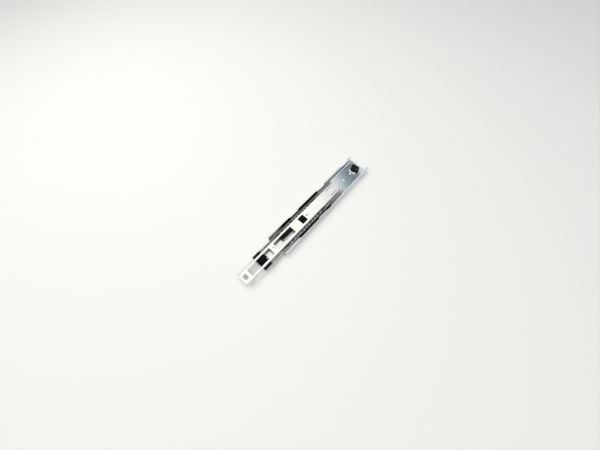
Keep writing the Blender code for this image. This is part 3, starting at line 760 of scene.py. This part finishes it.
def outer_cage(plastic):
    """A moulded cage: a thin web between two rails, with a round pocket through a rail for each ball."""
    low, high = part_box("outer_ball_retainer")
    row_y, row_z = OUTER_ROW
    half_rail = high.y - row_y
    chamfer_y, chamfer_z = RAIL_CHAMFER
    half = [(high.y - chamfer_y, low.z), (high.y, low.z + chamfer_z), (high.y, high.z),
            (row_y - half_rail, high.z), (row_y - half_rail, low.z + CAGE_SHEET)]
    body = (half + [(-y, z) for y, z in reversed(half)], low.x, high.x, "x")
    pockets, waists = [], []
    for side in (-1, 1):
        ends = sorted((side * (row_y - half_rail - GAP), side * (high.y + GAP)))
        for x in row_centres("outer"):
            pockets.append((circle(x, row_z, BALL_RADIUS + RACE_GAP, 28), *ends, "y"))
        top = sorted((side * (row_y - half_rail - GAP), side * (row_y + half_rail / 3)))
        for a, b in zip(row_centres("outer"), row_centres("outer")[1:]):
            if b - a > RAIL_WAIST[0]:
                waist = rounded_box(a + RAIL_WAIST[1], b - RAIL_WAIST[1], high.z - RAIL_WAIST[2],
                                    high.z + MM, GAP, 30.0)
                waists.append((waist, *top, "y"))
    piece = shaped("outer_cage_moulding", body, [("DIFFERENCE", pockets), ("DIFFERENCE", waists)])
    ease_edges(piece, RAIL_EDGE)
    finish_piece(piece, "outer_cage", "black_plastic", plastic, "outer_ball_retainer")


def balls(prefix, body, steel):
    bm = bmesh.new()
    bmesh.ops.create_icosphere(bm, subdivisions=4, radius=BALL_RADIUS)
    shared = new_piece("ball", bm)
    shared.data.shade_smooth()
    shared.data.materials.append(steel)
    for node in sorted(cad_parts):
        if node.startswith(f"{prefix}_ball_") and "retainer" not in node:
            ball = bpy.data.objects.new(node.replace("_ball_", "_row_ball_"), shared.data)
            bpy.context.scene.collection.objects.link(ball)
            ball.location = centre_of(node)
            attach(ball, body)
            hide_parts(node)
    bpy.data.objects.remove(shared)


def saddle_outline(x0, x1, half_width):
    """The stop's middle from above: a flat front and a round rear."""
    centre = x1 - SADDLE_ROUND
    angles = [math.radians(180 * i / SADDLE_STEPS - 90) for i in range(SADDLE_STEPS + 1)]
    rear = [(centre + SADDLE_ROUND * math.cos(a), half_width * math.sin(a)) for a in angles]
    return [(x0, -half_width)] + rear + [(x0, half_width)]


def front_stop(plastic):
    low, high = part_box("intermediate_front_stop")
    front = low.x
    base = MID_WEB_Z + SHEET / 2 + GAP
    floor = base + STOP_FLOOR
    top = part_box("lever_rivet")[0].z + STOP_OVER_RIVET
    block_in = INNER_HALF + GAP
    block_out = OUTER_ROW[0] - RACE_LINE - MID_BEND - GAP
    cap_low = high.z - STOP_CAP
    half = [(block_out, base), (block_out, cap_low), (high.y, cap_low), (high.y, high.z),
            (block_in, high.z), (block_in, floor)]
    body = (half + [(-y, z) for y, z in reversed(half)], front, front + STOP_LENGTH, "x")
    half_width = INNER_CLEAR - SADDLE_SIDE_ROOM
    saddle = (saddle_outline(front + SADDLE_FRONT, high.x, half_width), floor - GAP, top, "z")
    peg_x, peg_y = STOP_PEG
    pegs = [(circle(front + peg_x, side * peg_y, PEG_RADIUS, 24), low.z, floor - GAP / 2, "z")
            for side in (-1, 1)]
    gate = [(front - MM, -GATE_WIDTH), (high.x + MM, -GATE_WIDTH), (high.x + MM, GATE_EDGE_Y),
            (front - MM, GATE_EDGE_Y)]
    tail = [(front + STOP_LENGTH, -high.y), (high.x + MM, -high.y), (high.x + MM, high.y),
            (front + STOP_LENGTH, high.y)]
    cuts = [(gate, floor, top + MM, "z"), (tail, floor - MM, floor, "z")]
    groove_x, groove_radius, groove_width, groove_depth = CRESCENT
    line = arc((front + groove_x, 0.0), groove_radius, *CRESCENT_SPAN, 6.0)
    groove = strip_outline(line, groove_width)
    cuts.append((groove, top - groove_depth, top + MM, "z"))
    steps = [("UNION", [saddle]), ("UNION", pegs)] + [("DIFFERENCE", [cut]) for cut in cuts]
    piece = shaped("front_stop", body, steps)
    ease_edges(piece, MOULDED_EDGE, 3)
    finish_piece(piece, "intermediate", "black_plastic", plastic, "intermediate_front_stop")


def rear_bumper(rubber):
    low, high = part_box("rear_bumper")
    centre = (low + high) / 2
    foot = SHEET + GAP
    body = (rounded_box(low.x, high.x, low.y, high.y, BUMPER_ROUND, 11.0), foot, high.z, "z")
    peg = (circle(centre.x, 0.0, PEG_RADIUS, 24), low.z, foot + GAP, "z")
    cuts = []
    pitch = (high.y - low.y) / (BUMPER_GROOVES + 1)
    for i in range(BUMPER_GROOVES):
        y = low.y + (i + 1) * pitch
        groove = rounded_box(low.x + BUMPER_RIM, high.x - BUMPER_RIM, y - BUMPER_GROOVE / 2,
                             y + BUMPER_GROOVE / 2, BUMPER_GROOVE * GROOVE_ROUND, 30.0)
        cuts.append((groove, high.z - BUMPER_GROOVE, high.z + MM, "z"))
    piece = shaped("bumper_block", body, [("UNION", [peg]), ("DIFFERENCE", cuts)])
    ease_edges(piece, BUMPER_EDGE, 3)
    finish_piece(piece, "cabinet", "black_rubber", rubber, "rear_bumper")


def release_lever(plastic):
    low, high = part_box("release_lever")
    pivot = centre_of("lever_rivet")
    drawer_front = INNER_LOW.x
    bottom = high.z - LEVER_THICKNESS
    far_y = INNER_CLEAR - LEVER_FAR_ROOM
    near_y = LEVER_NEAR_ROOM - INNER_CLEAR
    corner_x, wide_x = (drawer_front + x for x in OPENINGS[2])
    knee_x, knee_y = LEVER_KNEE
    outline = [(low.x, LEVER_TIP_Y), (drawer_front + knee_x, knee_y),
               (corner_x, near_y + LEVER_CORNER_IN), (drawer_front + LEVER_HEEL_X, near_y),
               (wide_x, LEVER_NECK_Y)]
    outline += arc((pivot.x, 0.0), LEVER_BOSS_RADIUS, -120, 80, 8.0)
    outline += [(wide_x, far_y), (low.x, far_y)]
    hook_x = drawer_front + HOOK_X
    hook = rounded_box(hook_x, hook_x + HOOK_LENGTH, HOOK_Y, HOOK_Y + HOOK_WIDTH, GAP, 30.0)
    root_x, root_y = SPRING_ROOT
    mid_room, tip_room = SPRING_ROOMS
    finger_x = pivot.x + root_x
    bend = [(finger_x, root_y), (finger_x + SPRING_LENGTH / 2, INNER_CLEAR - mid_room),
            (finger_x + SPRING_LENGTH, INNER_CLEAR - tip_room)]
    finger = strip_outline(bend, SPRING_THICKNESS)
    cuts = [(circle(pivot.x, 0.0, RIVET_RADIUS + GAP, 32), bottom - MM, high.z + MM, "z")]
    for i in range(GRIP_GROOVES):
        x = low.x + GRIP_START + i * GRIP_PITCH
        groove = rounded_box(x, x + GRIP_WIDTH, LEVER_TIP_Y + MM, far_y - MM,
                             GRIP_WIDTH * GROOVE_ROUND, 30.0)
        cuts.append((groove, high.z - GRIP_WIDTH, high.z + MM, "z"))
    steps = [("UNION", [(hook, low.z, bottom + GAP, "z")]),
             ("UNION", [(finger, bottom + GAP, high.z - GAP, "z")]), ("DIFFERENCE", cuts)]
    piece = shaped("release_latch", (outline, bottom, high.z, "z"), steps)
    ease_edges(piece, MOULDED_EDGE, 3)
    finish_piece(piece, "lever", "black_plastic", plastic, "release_lever")


def lever_rivet(steel):
    """A headed rivet turned from one profile, with a dimple in the end of its shank."""
    low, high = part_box("lever_rivet")
    centre = (low + high) / 2
    head = (high.x - low.x) / 2
    profile = [(0.0, low.z + RIVET_CROWN * 0.2), (head * 0.55, low.z),
               (head * 0.9, low.z + RIVET_CROWN * 0.5), (head, low.z + RIVET_CROWN),
               (head, low.z + RIVET_HEAD * 0.9), (head * 0.97, low.z + RIVET_HEAD),
               (RIVET_RADIUS, low.z + RIVET_HEAD), (RIVET_RADIUS, high.z - RIVET_CROWN),
               (RIVET_RADIUS - RIVET_CROWN, high.z), (RIVET_RADIUS * 0.55, high.z),
               (RIVET_RADIUS * 0.4, high.z - RIVET_CROWN), (0.0, high.z - 1.5 * RIVET_CROWN)]
    bm = bmesh.new()
    verts = [bm.verts.new((centre.x + r, 0.0, z)) for r, z in profile]
    edges = [bm.edges.new(pair) for pair in zip(verts, verts[1:])]
    bmesh.ops.spin(bm, geom=verts + edges, cent=(centre.x, 0.0, 0.0), axis=(0, 0, 1),
                   angle=math.tau, steps=48, use_merge=True)
    bmesh.ops.remove_doubles(bm, verts=bm.verts[:], dist=0.001 * MM)
    bmesh.ops.recalc_face_normals(bm, faces=bm.faces[:])
    piece = new_piece("latch_rivet", bm)
    piece.data.shade_smooth()
    piece.data.set_sharp_from_angle(angle=math.radians(40))
    finish_piece(piece, "drawer", "rivet_steel", steel, "lever_rivet")


# --- studio -----------------------------------------------------------------------------------------

def add_floor():
    bm = bmesh.new()
    bmesh.ops.create_grid(bm, x_segments=8, y_segments=8, size=FLOOR_HALF)
    floor = new_piece("floor", bm)
    floor.location.z = -FLOOR_DROP
    finish = Finish("pale_board", FLOOR_COLOUR, 0.6, 0.0)
    fibres = finish.noise(FIBRES)
    finish.roughness(finish.spread(fibres, 0.3, 0.7, 0.55, 0.7))
    floor.data.materials.append(finish.material)


def add_softbox(name, location, aim, width, height, watts, colour):
    light = bpy.data.lights.new(name, "AREA")
    light.shape = "RECTANGLE"
    light.size = width
    light.size_y = height
    light.energy = watts
    light.color = colour
    lamp = bpy.data.objects.new(name, light)
    lamp.location = location
    lamp.rotation_euler = (Vector(aim) - Vector(location)).to_track_quat("-Z", "Y").to_euler()
    lamp.visible_glossy = False
    bpy.context.scene.collection.objects.link(lamp)


def add_studio_sky():
    """White overhead with a grey seam leaning to the left, and dim walls lower down."""
    world = bpy.data.worlds.new("studio")
    world.use_nodes = True
    tree = world.node_tree
    place = tree.nodes.new("ShaderNodeTexCoord")
    split = tree.nodes.new("ShaderNodeSeparateXYZ")
    ramp = tree.nodes.new("ShaderNodeValToRGB")
    tree.links.new(place.outputs["Generated"], split.inputs[0])
    lean = tree.nodes.new("ShaderNodeMath")
    lean.operation = "MULTIPLY_ADD"
    lean.inputs[1].default_value = SKY_LEAN
    tree.links.new(split.outputs["Y"], lean.inputs[0])
    tree.links.new(split.outputs["Z"], lean.inputs[2])
    tree.links.new(lean.outputs[0], ramp.inputs["Fac"])
    while len(ramp.color_ramp.elements) > 1:
        ramp.color_ramp.elements.remove(ramp.color_ramp.elements[-1])
    for i, (height, colour) in enumerate(SKY):
        stop = ramp.color_ramp.elements[0] if i == 0 else ramp.color_ramp.elements.new(height)
        stop.position = height
        stop.color = (*colour, 1.0)
    dusk = tree.nodes.new("ShaderNodeMapRange")
    for name, number in zip(RANGE_ENDS, SKY_DUSK):
        dusk.inputs[name].default_value = number
    tree.links.new(split.outputs["Z"], dusk.inputs["Value"])
    tree.links.new(ramp.outputs["Color"], tree.nodes["Background"].inputs["Color"])
    tree.links.new(dusk.outputs["Result"], tree.nodes["Background"].inputs["Strength"])
    bpy.context.scene.world = world


def add_camera():
    data = bpy.data.cameras.new("camera")
    data.sensor_width = 36.0
    data.lens = LENS
    data.clip_start = 0.01
    camera = bpy.data.objects.new("camera", data)
    look = Vector((math.cos(CAMERA_AZIMUTH) * math.cos(CAMERA_ELEVATION),
                   math.sin(CAMERA_AZIMUTH) * math.cos(CAMERA_ELEVATION), -math.sin(CAMERA_ELEVATION)))
    right = look.cross(Vector((0.0, 0.0, 1.0))).normalized()
    up = right.cross(look)
    turn = Matrix((right, up, -look)).transposed().to_4x4()
    camera.matrix_world = Matrix.Translation(Vector(CAMERA_AIM) - look * CAMERA_DISTANCE) @ turn
    bpy.context.scene.collection.objects.link(camera)
    bpy.context.scene.camera = camera


def build_slide():
    # Each member's ball tracks get painted shade in their colour
    zinc = plated_steel("bright_zinc", *BRIGHT_ZINC, DRAWER_TRACK_SHADE)
    # The middle member gets a shaded copy of the zinc: painted shade
    shaded_mid_zinc = plated_steel("shaded_middle_zinc", *SHADED_MIDDLE_ZINC, MID_TRACK_SHADE)
    blue_zinc = plated_steel("blue_zinc", *BLUE_ZINC, CABINET_TRACK_SHADE)
    cage_steel = plated_steel("cage_steel", *CAGE_STEEL, CAGE_TRACK_SHADE, CAGE_METALLIC)
    turned = plated_steel("rivet_steel", *RIVET_STEEL)
    chrome = ball_steel("ball_steel", *BALL_STEEL)
    plastic = moulded("black_plastic", *BLACK_PLASTIC)
    rubber = moulded("black_rubber", *BLACK_RUBBER)
    cabinet_member(blue_zinc)
    rear_bumper(rubber)
    intermediate_member(shaded_mid_zinc)
    front_stop(plastic)
    drawer_member(zinc)
    release_lever(plastic)
    lever_rivet(turned)
    outer_cage(plastic)
    inner_cage(cage_steel)
    balls("outer", "outer_cage", chrome)
    balls("inner", "inner_cage", chrome)


def build_studio():
    add_floor()
    add_studio_sky()
    add_softbox("key", *KEY_SOFTBOX)
    add_softbox("overhead", *OVERHEAD_SOFTBOX)
    add_camera()
    bpy.context.scene.view_settings.view_transform = "Standard"


build_slide()
build_studio()
